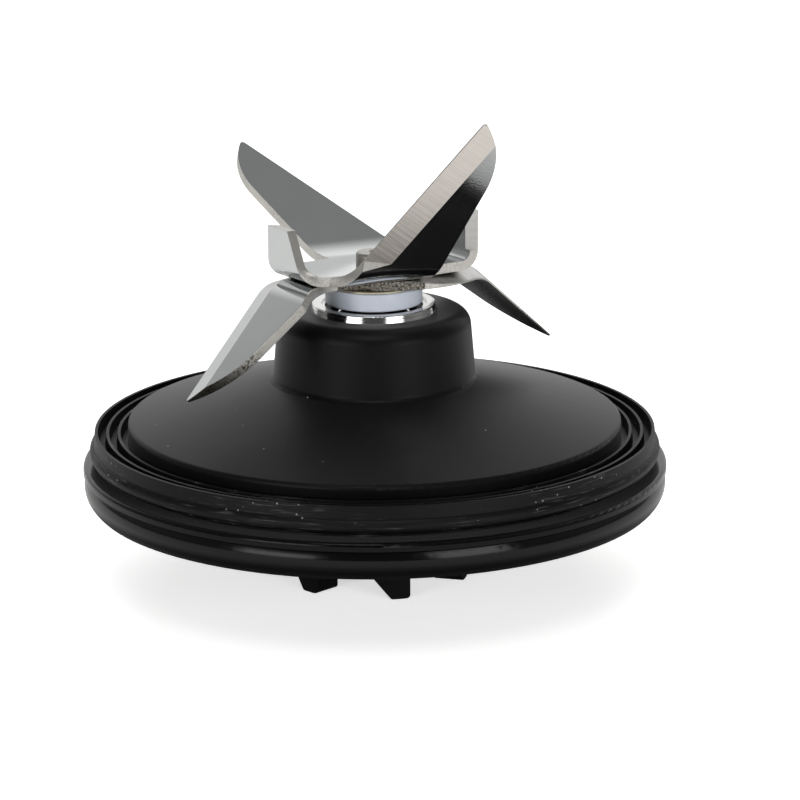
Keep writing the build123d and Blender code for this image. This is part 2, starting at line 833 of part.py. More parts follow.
# Jar gasket: foot on the flange, outer ridge and three upright lips
gasket_inner = dome_radius + slide_gap
last_lip = gasket_lip_count - 1
lip_points = []
for lip in reversed(range(gasket_lip_count)):
    lip_centre = dome_radius + gasket_first_lip + lip * gasket_lip_pitch
    lip_top = flange_top + (gasket_rim_height if lip == last_lip else gasket_lip_height)
    lip_points += [
        (lip_centre + gasket_lip_root / 2, flange_top + gasket_body_height),
        (lip_centre + gasket_lip_tip / 2, lip_top),
        (lip_centre - gasket_lip_tip / 2, lip_top),
        (lip_centre - gasket_lip_root / 2, flange_top + gasket_body_height),
    ]
with BuildPart() as jar_gasket:
    with BuildSketch(Plane.XZ):
        with BuildLine():
            ridge = ThreePointArc(
                (dome_radius + gasket_foot_width, flange_top + gasket_foot_height),
                (dome_radius + gasket_ridge_width, flange_top + gasket_foot_height + gasket_ridge_height),
                lip_points[0],
            )
            Polyline(
                *lip_points,
                (gasket_inner, flange_top + gasket_body_height),
                (gasket_inner, flange_top),
                (dome_radius + gasket_foot_width, flange_top),
                ridge @ 0,
            )
        make_face()
    revolve(axis=Axis.Z)
jar_gasket.part.label = "jar_gasket"
export_step(jar_gasket.part, "parts/jar_gasket.step")

# Metal insert in the coupling, screwed on the spindle's foot
with BuildPart() as coupling_insert:
    with BuildSketch(Plane.XY.offset(dog_height)):
        RegularPolygon(insert_across_flats / 2, 6, major_radius=False)
        Circle(thread_radius + slide_gap, mode=Mode.SUBTRACT)
    extrude(amount=coupling_thickness)
coupling_insert.part.label = "coupling_insert"
export_step(coupling_insert.part, "parts/coupling_insert.step")


def dog(azimuth):
    """One drive dog: an upright driving face on its right and a ramp on its left."""
    tangent = Vector(1, 0, 0).rotate(Axis.Z, azimuth)
    outward = Vector(0, -1, 0).rotate(Axis.Z, azimuth)
    with BuildPart() as tooth:
        with BuildSketch(Plane((0, 0, 0), tangent, outward)) as outline:
            with BuildLine():
                Polyline(
                    (dog_tip_width / 2, 0),
                    (dog_tip_width / 2, dog_height),
                    (-dog_tip_width / 2 - dog_ramp, dog_height),
                    (-dog_tip_width / 2, 0),
                    close=True,
                )
            make_face()
            fillet(outline.vertices().group_by(Axis.Y)[0], dog_tip_fillet)
        extrude(amount=2 * coupling_radius)
        with BuildSketch(Plane.XY):
            Circle(coupling_radius)
            Circle(dog_inner_radius, mode=Mode.SUBTRACT)
        extrude(amount=dog_height, mode=Mode.INTERSECT)
    return tooth.part


# Drive coupling: a disc with the dogs under it
with BuildPart() as drive_coupling:
    with BuildSketch(Plane.XY.offset(dog_height)):
        Circle(coupling_radius)
    extrude(amount=coupling_thickness)
    fillet(drive_coupling.edges().group_by(Axis.Z)[-1], coupling_edge)
    with BuildSketch(Plane.XY.offset(dog_height)):
        RegularPolygon(insert_across_flats / 2, 6, major_radius=False)
    extrude(amount=coupling_thickness, mode=Mode.SUBTRACT)
    for step in range(dog_count):
        add(dog(first_dog_angle + step * 360 / dog_count))
drive_coupling.part.label = "drive_coupling"
export_step(drive_coupling.part, "parts/drive_coupling.step")
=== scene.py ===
from math import cos, pi, radians, sin

import bmesh
import bpy
from mathutils import Matrix, Vector
from mathutils.bvhtree import BVHTree


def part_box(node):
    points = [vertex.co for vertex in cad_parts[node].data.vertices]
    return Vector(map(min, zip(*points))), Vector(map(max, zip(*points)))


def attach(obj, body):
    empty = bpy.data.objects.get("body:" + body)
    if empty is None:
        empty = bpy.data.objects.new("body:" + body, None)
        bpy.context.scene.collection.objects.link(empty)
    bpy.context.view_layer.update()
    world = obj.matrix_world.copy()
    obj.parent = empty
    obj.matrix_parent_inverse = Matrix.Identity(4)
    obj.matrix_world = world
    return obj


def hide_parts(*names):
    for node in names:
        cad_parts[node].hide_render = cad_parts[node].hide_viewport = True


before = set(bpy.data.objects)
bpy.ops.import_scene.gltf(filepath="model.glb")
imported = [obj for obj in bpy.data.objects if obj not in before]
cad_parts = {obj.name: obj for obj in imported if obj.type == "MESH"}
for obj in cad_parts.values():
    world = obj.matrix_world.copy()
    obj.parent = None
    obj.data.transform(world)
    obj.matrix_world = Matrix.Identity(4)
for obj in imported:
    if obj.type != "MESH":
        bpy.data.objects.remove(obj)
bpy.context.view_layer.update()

# Sizes and heights are in millimetres and are turned to metres where they are used.
MM = 0.001


def linear(code):
    """An sRGB hex colour as linear values."""
    parts = [int(code[i : i + 2], 16) / 255 for i in (1, 3, 5)]
    return [p / 12.92 if p <= 0.04045 else ((p + 0.055) / 1.055) ** 2.4 for p in parts] + [1.0]


def per(size):
    """Pattern scale whose features are about this many millimetres wide."""
    return 1 / (size * MM)


def feed(tree, node, inputs):
    """Gives a node's inputs their values, or links them to other nodes' outputs.

    Map Range has its value at 0, the range it comes from at 1 and 2, and the range it goes to at 3 and 4.
    A colour Mix has its factor at 0 and its colours at 6 and 7, and gives its result at output 2.
    """
    for name, value in inputs.items():
        if isinstance(value, bpy.types.NodeSocket):
            tree.links.new(value, node.inputs[name])
        else:
            node.inputs[name].default_value = value


def add(tree, kind, inputs, **settings):
    """Adds a node with its settings and inputs."""
    node = tree.nodes.new("ShaderNode" + kind)
    for name, value in settings.items():
        setattr(node, name, value)
    feed(tree, node, inputs)
    return node


def new_finish(name):
    """A new material with its node tree, its shader and the piece's own coordinates."""
    material = bpy.data.materials.new(name)
    material.use_nodes = True
    tree = material.node_tree
    place = add(tree, "TexCoord", {}).outputs["Object"]
    return material, tree, tree.nodes["Principled BSDF"], place


# Cold-rolled stainless sheet, tumbled after stamping: a soft mirror with a faint grain.
# The real grain is finer than a pixel, so it is drawn at 0.3 mm to show.
rolled_stainless, tree, shader, place = new_finish("rolled_stainless_sheet")
cloud = add(tree, "TexNoise", {"Vector": place, "Scale": per(7), "Detail": 3})
grain = add(tree, "TexNoise", {"Vector": place, "Scale": per(0.3), "Detail": 2})
tone = add(tree, "Mix", {0: cloud.outputs[0], 6: linear("#dddfde"), 7: linear("#d2d4d4")}, data_type="RGBA")
soft = add(tree, "MapRange", {0: cloud.outputs[0], 3: 0.08, 4: 0.12})
relief = add(tree, "Bump", {"Height": grain.outputs[0], "Strength": 0.12, "Distance": 0.05 * MM})
feed(tree, shader, {"Base Color": tone.outputs[2], "Roughness": soft.outputs[0], "Metallic": 1.0})
feed(tree, shader, {"Normal": relief.outputs[0]})

# Bevel ground across the edge: parallel strokes, painted darker low on the upper wing's bevel next to its
# fold, as a painted reflection of the dark base and its shadow.
# The lower blade was ground finer and is cooler in tone. The strokes are drawn wider than they are, to show.
STROKE_WIDTH = 0.26
STROKE_LENGTH = 12
LOWER_BLADE_HEIGHT = 46
UPPER_BLADE_HEIGHT = 50
STROKE_SHADE_HEIGHT = 52
STROKE_SHADE_END = 64
ground_stainless, tree, shader, place = new_finish("ground_stainless_bevel")
along = add(tree, "UVMap", {}, uv_map="grind").outputs[0]
stroke = add(tree, "Mapping", {"Vector": along, "Scale": (1 / STROKE_WIDTH, 1 / STROKE_LENGTH, 1)})
lines = add(tree, "TexNoise", {"Vector": stroke.outputs[0], "Scale": 1, "Detail": 4, "Roughness": 0.7})
height = add(tree, "SeparateXYZ", {0: place}).outputs["Z"]
# Painted reflection: the strokes darken towards the upper fold, where the bevel mirrors the dark base and its
# shadow.
stroke_shade = add(tree, "MapRange", {0: height, 1: STROKE_SHADE_HEIGHT * MM, 2: STROKE_SHADE_END * MM, 3: 0.3, 4: 0.85})
upper = {0: height, 1: LOWER_BLADE_HEIGHT * MM, 2: UPPER_BLADE_HEIGHT * MM}
finer = add(tree, "MapRange", {**upper, 3: 0.7, 4: 0.0})
depth = add(tree, "Math", {0: stroke_shade.outputs[0], 1: finer.outputs[0]}, operation="MAXIMUM")
streak = add(tree, "MapRange", {0: lines.outputs[0], 1: 0.34, 2: 0.66, 3: depth.outputs[0], 4: 1.0})
warmth = add(tree, "MapRange", upper)
bare = add(tree, "Mix", {0: warmth.outputs[0], 6: linear("#dadcdd"), 7: linear("#f3ece5")}, data_type="RGBA")
tone = add(tree, "Mix", {0: streak.outputs[0], 6: linear("#8f8a80"), 7: bare.outputs[2]}, data_type="RGBA")
relief = add(tree, "Bump", {"Height": lines.outputs[0], "Strength": 0.12, "Distance": 0.05 * MM})
feed(tree, shader, {"Base Color": tone.outputs[2], "Roughness": 0.34, "Metallic": 1.0})
feed(tree, shader, {"Normal": relief.outputs[0]})

# Short bevel on a tab's edge: linished nearly white, with faint level strokes, ten times as long as high.
linished_stainless, tree, shader, place = new_finish("linished_stainless_tab")
level = add(tree, "Mapping", {"Vector": place, "Scale": (0.1, 0.1, 1)})
lines = add(tree, "TexNoise", {"Vector": level.outputs[0], "Scale": per(0.3), "Detail": 2})
tone = add(tree, "Mix", {0: lines.outputs[0], 6: linear("#f0ede8"), 7: linear("#ffffff")}, data_type="RGBA")
feed(tree, shader, {"Base Color": tone.outputs[2], "Roughness": 0.6, "Metallic": 1.0})

# Sheared edge of the sheet: a burnished band with torn, darker grains, most of them low on the lower wings.
# The band is darker towards the lower tips.
DARK_BAND_HEIGHT = 35
BRIGHT_HEIGHT = 39
WORN_HEIGHT = 38
SOUND_HEIGHT = 44
sheared_stainless, tree, shader, place = new_finish("sheared_stainless_edge")
torn = add(tree, "TexNoise", {"Vector": place, "Scale": per(0.35), "Detail": 3})
patch = add(tree, "TexNoise", {"Vector": place, "Scale": per(5), "Detail": 1})
height = add(tree, "SeparateXYZ", {0: place}).outputs["Z"]
worn = add(tree, "MapRange", {0: height, 1: WORN_HEIGHT * MM, 2: SOUND_HEIGHT * MM, 3: 0.95, 4: 0.2})
where = add(tree, "MapRange", {0: patch.outputs[0], 1: 0.32, 2: 0.52, 3: 0.0, 4: worn.outputs[0]})
speck = add(tree, "MapRange", {0: torn.outputs[0], 1: 0.48, 2: 0.58})
amount = add(tree, "Math", {0: where.outputs[0], 1: speck.outputs[0]}, operation="MULTIPLY")
bright = add(tree, "MapRange", {0: height, 1: DARK_BAND_HEIGHT * MM, 2: BRIGHT_HEIGHT * MM})
band = add(tree, "Mix", {0: bright.outputs[0], 6: linear("#6c6862"), 7: linear("#d4d1cb")}, data_type="RGBA")
tone = add(tree, "Mix", {0: amount.outputs[0], 6: band.outputs[2], 7: linear("#4c4740")}, data_type="RGBA")
relief = add(tree, "Bump", {"Height": torn.outputs[0], "Strength": 0.35, "Distance": 0.08 * MM})
feed(tree, shader, {"Base Color": tone.outputs[2], "Roughness": 0.4, "Metallic": 1.0})
feed(tree, shader, {"Normal": relief.outputs[0]})

# Torn edge of the lower plate, where the tool ripped the sheet: dull grey-brown, rough and speckled.
torn_stainless, tree, shader, place = new_finish("torn_stainless_edge")
rip = add(tree, "TexNoise", {"Vector": place, "Scale": per(0.3), "Detail": 4, "Roughness": 0.7})
shade = add(tree, "MapRange", {0: rip.outputs[0], 1: 0.4, 2: 0.68})
tone = add(tree, "Mix", {0: shade.outputs[0], 6: linear("#3e3a34"), 7: linear("#c4beb4")}, data_type="RGBA")
relief = add(tree, "Bump", {"Height": rip.outputs[0], "Strength": 0.7, "Distance": 0.15 * MM})
feed(tree, shader, {"Base Color": tone.outputs[2], "Roughness": 0.5, "Metallic": 1.0})
feed(tree, shader, {"Normal": relief.outputs[0]})

# Turned stainless steel, left bright: fine rings about the axis, drawn wider apart than they are, to show.
# At scale 1 a wave texture's rings are 2 pi / 20 apart.
RING_PITCH = 0.6
WAVE_PITCH = 2 * pi / 20
turned_stainless, tree, shader, place = new_finish("turned_bright_stainless")
rings = add(
    tree,
    "TexWave",
    {"Vector": place, "Scale": per(RING_PITCH) * WAVE_PITCH, "Distortion": 0.6, "Detail": 2},
    wave_type="RINGS",
    rings_direction="Z",
)
smear = add(tree, "TexNoise", {"Vector": place, "Scale": per(3), "Detail": 2})
soft = add(tree, "MapRange", {0: smear.outputs[0], 3: 0.08, 4: 0.14})
relief = add(tree, "Bump", {"Height": rings.outputs[1], "Strength": 0.1, "Distance": 0.02 * MM})
feed(tree, shader, {"Base Color": linear("#dcdcda"), "Roughness": soft.outputs[0], "Metallic": 1.0})
feed(tree, shader, {"Normal": relief.outputs[0]})

# Peened stainless steel: the spindle's head, dented by the riveting tool.
peened_stainless, tree, shader, place = new_finish("peened_stainless")
dents = add(tree, "TexNoise", {"Vector": place, "Scale": per(0.6), "Detail": 3})
tone = add(tree, "Mix", {0: dents.outputs[0], 6: linear("#8e8a83"), 7: linear("#cbc8c2")}, data_type="RGBA")
relief = add(tree, "Bump", {"Height": dents.outputs[0], "Strength": 0.5, "Distance": 0.15 * MM})
feed(tree, shader, {"Base Color": tone.outputs[2], "Roughness": 0.3, "Metallic": 1.0})
feed(tree, shader, {"Normal": relief.outputs[0]})

# Thin steel washer: slightly straw coloured, in soft clouds.
straw_washer, tree, shader, place = new_finish("straw_steel_washer")
cloud = add(tree, "TexNoise", {"Vector": place, "Scale": per(1.5), "Detail": 3})
tone = add(tree, "Mix", {0: cloud.outputs[0], 6: linear("#b8ad92"), 7: linear("#d8d0ba")}, data_type="RGBA")
feed(tree, shader, {"Base Color": tone.outputs[2], "Roughness": 0.35, "Metallic": 1.0})

# Natural nylon: milky, light soaks in a little way.
milky_nylon, tree, shader, place = new_finish("milky_nylon")
cloud = add(tree, "TexNoise", {"Vector": place, "Scale": per(2.5), "Detail": 2})
tone = add(tree, "Mix", {0: cloud.outputs[0], 6: linear("#a8aeb9"), 7: linear("#b6bbc4")}, data_type="RGBA")
feed(tree, shader, {"Base Color": tone.outputs[2], "Roughness": 0.35, "Subsurface Weight": 0.4})
feed(tree, shader, {"Subsurface Radius": (1, 1, 1), "Subsurface Scale": 0.8 * MM})

# Black moulding: grained by a spark-eroded tool on the dome, polished on the rim under the gasket, with a
# little dust. The real grain is finer than a pixel, so it is drawn at 0.3 mm to show.
RIM_TOP = 18.9
GRAIN_START = 0.2
grained_black, tree, shader, place = new_finish("grained_black_moulding")
height = add(tree, "SeparateXYZ", {0: place}).outputs["Z"]
above_rim = {0: height, 1: RIM_TOP * MM, 2: (RIM_TOP + GRAIN_START) * MM}
dull = add(tree, "MapRange", {**above_rim, 3: 0.16, 4: 0.42})
grain = add(tree, "TexNoise", {"Vector": place, "Scale": per(0.3), "Detail": 2})
coarse = add(tree, "MapRange", {**above_rim, 3: 0.0, 4: 0.16})
relief = add(tree, "Bump", {"Height": grain.outputs[0], "Strength": coarse.outputs[0], "Distance": 0.06 * MM})
dust = add(tree, "TexVoronoi", {"Vector": place, "Scale": per(4.5)})
fleck = add(tree, "MapRange", {0: dust.outputs["Distance"], 1: 0.022, 2: 0.03, 3: 0.5, 4: 0.0})
tone = add(tree, "Mix", {0: fleck.outputs[0], 6: linear("#030303"), 7: linear("#b5b5b2")}, data_type="RGBA")
feed(tree, shader, {"Base Color": tone.outputs[2], "Roughness": dull.outputs[0], "Normal": relief.outputs[0]})
feed(tree, shader, {"Specular IOR Level": 0.18, "Sheen Weight": 0.08, "Sheen Roughness": 0.35})

# Gloss black moulding: a polished tool leaves a faint waviness.
gloss_black, tree, shader, place = new_finish("gloss_black_moulding")
wave = add(tree, "TexNoise", {"Vector": place, "Scale": per(6), "Detail": 1})
scuff = add(tree, "TexNoise", {"Vector": place, "Scale": per(1.2), "Detail": 4})
soft = add(tree, "MapRange", {0: scuff.outputs[0], 3: 0.1, 4: 0.2})
relief = add(tree, "Bump", {"Height": wave.outputs[0], "Strength": 0.05, "Distance": 0.2 * MM})
feed(tree, shader, {"Base Color": linear("#050505"), "Roughness": soft.outputs[0]})
feed(tree, shader, {"Specular IOR Level": 0.26, "Normal": relief.outputs[0]})

# Moulded black rubber: satin, with dust that clings to it in drifts and scuffs that run round the ring.
GASKET_RADIUS = 43
SCUFF_LENGTH = 5
SCUFF_HEIGHT = 0.25
dusty_rubber, tree, shader, place = new_finish("dusty_black_rubber")
grain = add(tree, "TexNoise", {"Vector": place, "Scale": per(0.4), "Detail": 3})
dust = add(tree, "TexVoronoi", {"Vector": place, "Scale": per(1.3)})
drift = add(tree, "TexNoise", {"Vector": place, "Scale": per(9), "Detail": 2})
size = add(tree, "MapRange", {0: drift.outputs[0], 1: 0.42, 2: 0.68, 3: 0.03, 4: 0.13})
fleck = add(tree, "Math", {0: dust.outputs["Distance"], 1: size.outputs[0]}, operation="LESS_THAN")
shown = add(tree, "Math", {0: fleck.outputs[0], 1: 0.45}, operation="MULTIPLY")
point = add(tree, "SeparateXYZ", {0: place})
front = add(tree, "Math", {0: point.outputs["Y"], 1: -1.0}, operation="MULTIPLY")
angle = add(tree, "Math", {0: point.outputs["X"], 1: front.outputs[0]}, operation="ARCTAN2")
unrolled = add(tree, "CombineXYZ", {"X": angle.outputs[0], "Y": point.outputs["Z"]})
scuff_scale = (GASKET_RADIUS / SCUFF_LENGTH, per(SCUFF_HEIGHT), 1)
stretched = add(tree, "Mapping", {"Vector": unrolled.outputs[0], "Scale": scuff_scale})
scratch = add(tree, "TexNoise", {"Vector": stretched.outputs[0], "Scale": 1, "Detail": 3})
rubbed = add(tree, "MapRange", {0: scratch.outputs[0], 1: 0.56, 2: 0.7})
area = add(tree, "MapRange", {0: drift.outputs[0], 1: 0.45, 2: 0.6, 3: 0.0, 4: 0.9})
amount = add(tree, "Math", {0: rubbed.outputs[0], 1: area.outputs[0]}, operation="MULTIPLY")
worn = add(tree, "Mix", {0: amount.outputs[0], 6: linear("#070708"), 7: linear("#3c3d3e")}, data_type="RGBA")
tone = add(tree, "Mix", {0: shown.outputs[0], 6: worn.outputs[2], 7: linear("#9a9c9c")}, data_type="RGBA")
relief = add(tree, "Bump", {"Height": grain.outputs[0], "Strength": 0.12, "Distance": 0.08 * MM})
feed(tree, shader, {"Base Color": tone.outputs[2], "Roughness": 0.45, "Normal": relief.outputs[0]})
feed(tree, shader, {"Specular IOR Level": 0.18})

# Glass-filled nylon of the coupling: dull black with a fine mottle.
filled_nylon, tree, shader, place = new_finish("glass_filled_black_nylon")
mottle = add(tree, "TexNoise", {"Vector": place, "Scale": per(0.5), "Detail": 3})
tone = add(tree, "Mix", {0: mottle.outputs[0], 6: linear("#060606"), 7: linear("#0c0c0c")}, data_type="RGBA")
relief = add(tree, "Bump", {"Height": mottle.outputs[0], "Strength": 0.15, "Distance": 0.06 * MM})
feed(tree, shader, {"Base Color": tone.outputs[2], "Roughness": 0.45, "Normal": relief.outputs[0]})
feed(tree, shader, {"Specular IOR Level": 0.2})

# Sintered bronze: open pores, oil dark. They are drawn at 0.4 mm, coarser than they are, to show.
sintered_bronze, tree, shader, place = new_finish("sintered_bronze")
pores = add(tree, "TexNoise", {"Vector": place, "Scale": per(0.4), "Detail": 3})
tone = add(tree, "Mix", {0: pores.outputs[0], 6: linear("#7a5a33"), 7: linear("#b58a54")}, data_type="RGBA")
feed(tree, shader, {"Base Color": tone.outputs[2], "Roughness": 0.45, "Metallic": 1.0})

# Machined brass: bright, a little clouded by handling.
machined_brass, tree, shader, place = new_finish("machined_brass")
cloud = add(tree, "TexNoise", {"Vector": place, "Scale": per(1.5), "Detail": 3})
tone = add(tree, "Mix", {0: cloud.outputs[0], 6: linear("#b8954e"), 7: linear("#d0b06a")}, data_type="RGBA")
feed(tree, shader, {"Base Color": tone.outputs[2], "Roughness": 0.3, "Metallic": 1.0})

# Oiled wool felt: matt and fibrous. The fibres are drawn at 0.3 mm, coarser than they are, to show.
oiled_felt, tree, shader, place = new_finish("oiled_felt")
fibres = add(tree, "TexNoise", {"Vector": place, "Scale": per(0.3), "Detail": 4})
tone = add(tree, "Mix", {0: fibres.outputs[0], 6: linear("#8f836a"), 7: linear("#b5a98d")}, data_type="RGBA")
feed(tree, shader, {"Base Color": tone.outputs[2], "Roughness": 0.9})

# Finishes of the solids that stay as they are
for node, material in {
    "dome_housing": grained_black,
    "base_ring": gloss_black,
    "jar_gasket": dusty_rubber,
    "shaft_seal": dusty_rubber,
    "sleeve_o_ring": dusty_rubber,
    "bearing_sleeve": turned_stainless,
    "seal_spring": turned_stainless,
    "sleeve_nut": turned_stainless,
    "base_screws": turned_stainless,
    "retaining_clip": turned_stainless,
    "spindle": peened_stainless,
    "blade_washer": straw_washer,
    "shim_washer": straw_washer,
    "blade_spacer": milky_nylon,
    "thrust_washer": milky_nylon,
    "upper_bush": sintered_bronze,
    "lower_bush": sintered_bronze,
    "oil_felt": oiled_felt,
    "drive_coupling": filled_nylon,
    "coupling_insert": machined_brass,
}.items():
    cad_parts[node].data.materials.clear()
    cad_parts[node].data.materials.append(material)

# Blades: each is a copy of its solid, so that its edges can be broken and its surfaces told apart.
BLADE_FINISHES = (rolled_stainless, ground_stainless, sheared_stainless, torn_stainless, linished_stainless)
ROLLED, GROUND, SHEARED, TORN, LINISHED = range(len(BLADE_FINISHES))
SHEET = 1.5
FOLD_SPARE = 0.12
SKIN = 0.01
WELD = 0.002
EDGE_BREAK = 0.09
# Leans are cosines of the angle between a face and the face behind it.
PARALLEL_LEAN = 0.985
WING_BEVEL_LEAN = 0.85
TAB_BEVEL_LEANS = (0.6, 0.8)
FLAT = radians(0.4)
LEVEL = radians(0.5)
SHARP = radians(38)
CORNER = radians(40)


def sort_faces(mesh, torn):
    """Tells rolled faces, bevels and sheared edges apart by the sheet behind them.

    Sheared edges whose middle lies in the box torn, where there is one, are those that the tool tore.
    """
    tree = BVHTree.FromBMesh(mesh)
    grind = mesh.loops.layers.uv.new("grind")
    for face in mesh.faces:
        inward = -face.normal
        centre = face.calc_center_median()
        _, behind, _, depth = tree.ray_cast(centre + inward * SKIN * MM, inward)
        lean = behind.dot(inward) if behind else 0
        ripped = torn and all(a < x < b for a, x, b in zip(torn[0], centre, torn[1]))
        face.material_index = TORN if ripped else SHEARED
        if behind and depth < (SHEET + FOLD_SPARE) * MM and lean > PARALLEL_LEAN:
            face.material_index = ROLLED
        elif behind and depth < SHEET * MM and TAB_BEVEL_LEANS[0] < lean < TAB_BEVEL_LEANS[1]:
            face.material_index = LINISHED
        elif behind and depth < SHEET * MM and lean > WING_BEVEL_LEAN:
            face.material_index = GROUND
            edge = face.normal.cross(behind).normalized()
            side = face.normal.cross(edge)
            for loop in face.loops:
                loop[grind].uv = (loop.vert.co.dot(edge) / MM, loop.vert.co.dot(side) / MM)
    # The flat face opposite a bevel is rolled too: it lies level with rolled faces beside it.
    waiting = [face for face in mesh.faces if face.material_index == ROLLED]
    while waiting:
        face = waiting.pop()
        for edge in face.edges:
            for beside in edge.link_faces:
                if beside.material_index == GROUND and beside.normal.angle(face.normal) < LEVEL:
                    beside.material_index = ROLLED
                    waiting.append(beside)


def dressed_blade(name, node, torn=None):
    """A copy of a blade with broken edges and its surfaces told apart."""
    mesh = bmesh.new()
    mesh.from_mesh(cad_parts[node].data)
    bmesh.ops.remove_doubles(mesh, verts=mesh.verts, dist=WELD * MM)
    sort_faces(mesh, torn)
    bmesh.ops.dissolve_limit(
        mesh, angle_limit=FLAT, verts=mesh.verts, edges=mesh.edges, delimit={"MATERIAL"}
    )
    bmesh.ops.bevel(
        mesh,
        geom=[edge for edge in mesh.edges if edge.calc_face_angle(0) > CORNER],
        affect="EDGES",
        offset=EDGE_BREAK * MM,
        segments=2,
        profile=0.5,
        material=-1,
        clamp_overlap=True,
    )
    for face in mesh.faces:
        face.smooth = True
    for edge in mesh.edges:
        kinds = {face.material_index for face in edge.link_faces}
        edge.smooth = edge.calc_face_angle(0) < SHARP and kinds != {ROLLED, GROUND}
    data = bpy.data.meshes.new(name)
    mesh.to_mesh(data)
    mesh.free()
    if "custom_normal" in data.attributes:
        data.attributes.remove(data.attributes["custom_normal"])
    for material in BLADE_FINISHES:
        data.materials.append(material)
    blade = bpy.data.objects.new(name, data)
    bpy.context.scene.collection.objects.link(blade)
    weight = blade.modifiers.new("face_weight", "WEIGHTED_NORMAL")
    weight.keep_sharp = True
    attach(blade, "rotor")
    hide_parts(node)


# The torn stretch is on the lower plate's near side, under the steep wing.
TORN_LEFT = -5.4
TORN_RIGHT = 7.6
TORN_DEEP = 12.0
plate_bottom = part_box("blade_washer")[1][2]
plate_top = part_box("upper_blade")[0][2]
torn_box = ((TORN_LEFT * MM, -TORN_DEEP * MM, plate_bottom), (TORN_RIGHT * MM, 0, plate_top))
dressed_blade("upper_blade_sheet", "upper_blade")
dressed_blade("lower_blade_sheet", "lower_blade", torn_box)

# Floor: a pale sheet that shows white to the camera and keeps the shadow. Only reflections see a dark painted
# shadow that lies behind the object, in the lower blade's far wing, and a painted shadow round its foot.
FLOOR_HALF = 1.6
CAMERA_LIFT = 0.6
MIRROR_LIFT = 0.03
BACK_SHADOW_CENTRE = Vector((20, 115, 0))
BACK_SHADOW_CORE = 50
BACK_SHADOW_EDGE = 80
FOOT_SHADOW_CORE = 51
FOOT_SHADOW_EDGE = 68
FOOT_SHADOW_DEPTH = 0.9
floor_mesh = bmesh.new()
bmesh.ops.create_grid(floor_mesh, x_segments=1, y_segments=1, size=FLOOR_HALF)
floor_data = bpy.data.meshes.new("floor")
floor_mesh.to_mesh(floor_data)
floor_mesh.free()
floor = bpy.data.objects.new("floor", floor_data)
bpy.context.scene.collection.objects.link(floor)
pale_floor, tree, shader, place = new_finish("pale_floor")
rays = add(tree, "LightPath", {})
glossy = rays.outputs["Is Glossy Ray"]
mirrored = add(tree, "Math", {0: glossy, 1: rays.outputs["Is Transmission Ray"]}, operation="MAXIMUM")
direct = add(tree, "Math", {0: rays.outputs["Is Camera Ray"], 1: CAMERA_LIFT}, operation="MULTIPLY")
lift = add(
    tree, "Math", {0: mirrored.outputs[0], 1: MIRROR_LIFT, 2: direct.outputs[0]}, operation="MULTIPLY_ADD"
)
# Painted shadow on the floor behind the object, which only reflections see.
reach = add(tree, "VectorMath", {0: place, 1: BACK_SHADOW_CENTRE * MM}, operation="DISTANCE").outputs["Value"]
back_shadow = add(tree, "MapRange", {0: reach, 1: BACK_SHADOW_CORE * MM, 2: BACK_SHADOW_EDGE * MM, 3: 1.0, 4: 0.0})
# Painted shadow in a ring round the object's foot, which only reflections see.
radius = add(tree, "VectorMath", {0: place}, operation="LENGTH").outputs["Value"]
foot_shadow = add(tree, "MapRange", {0: radius, 1: FOOT_SHADOW_CORE * MM, 2: FOOT_SHADOW_EDGE * MM, 3: FOOT_SHADOW_DEPTH, 4: 0.0})
painted_shadow = add(tree, "Math", {0: back_shadow.outputs[0], 1: foot_shadow.outputs[0]}, operation="MAXIMUM")
# Reflections see both painted shadows in the dark grey below.
mirrored_shadow = add(tree, "Math", {0: glossy, 1: painted_shadow.outputs[0]}, operation="MULTIPLY")
tone = add(tree, "Mix", {0: mirrored_shadow.outputs[0], 6: linear("#ebebea"), 7: linear("#4a4a4a")}, data_type="RGBA")
feed(tree, shader, {"Base Color": tone.outputs[2], "Roughness": 0.9, "Specular IOR Level": 0.0})
feed(tree, shader, {"Emission Color": linear("#ffffff"), "Emission Strength": lift.outputs[0]})
floor_data.materials.append(pale_floor)

# Studio: a white sweep behind the object, dim overhead and at its foot, and a dim room behind the camera.
# The numbers from -1 to 1 are parts of a direction: Y points away from the camera and Z up.
SWEEP_START = 0.43
SWEEP_FULL = 0.9
OVERHEAD_LEVEL = 0.25
ROOM_BACK = -0.9
ROOM_LEVEL = 0.3
SWEEP_FOOT = 0.12
FOOT_LEVEL = 0.3
PANEL_TURN = radians(38.5)
PANEL_CORE = radians(11)
PANEL_EDGE = radians(19)
PANEL_RISE = 0.2
PANEL_RISE_CORE = 0.1
PANEL_RISE_EDGE = 0.2
PANEL_LEVEL = 3.2
world = bpy.data.worlds.new("studio")
world.use_nodes = True
bpy.context.scene.world = world
tree = world.node_tree
toward = add(tree, "SeparateXYZ", {0: add(tree, "TexCoord", {}).outputs["Generated"]})
sweep = add(
    tree,
    "MapRange",
    {0: toward.outputs["Y"], 1: SWEEP_START, 2: SWEEP_FULL, 3: OVERHEAD_LEVEL, 4: 1.0},
    interpolation_type="SMOOTHSTEP",
)
room = add(tree, "MapRange", {0: toward.outputs["Y"], 1: ROOM_BACK, 2: 0.0, 3: ROOM_LEVEL, 4: 1.0})
low = add(tree, "MapRange", {0: toward.outputs["Z"], 1: 0.0, 2: SWEEP_FOOT, 3: FOOT_LEVEL, 4: 1.0})
shaded = add(tree, "Math", {0: room.outputs[0], 1: low.outputs[0]}, operation="MULTIPLY")
walls = add(tree, "Math", {0: sweep.outputs[0], 1: shaded.outputs[0]}, operation="MULTIPLY")
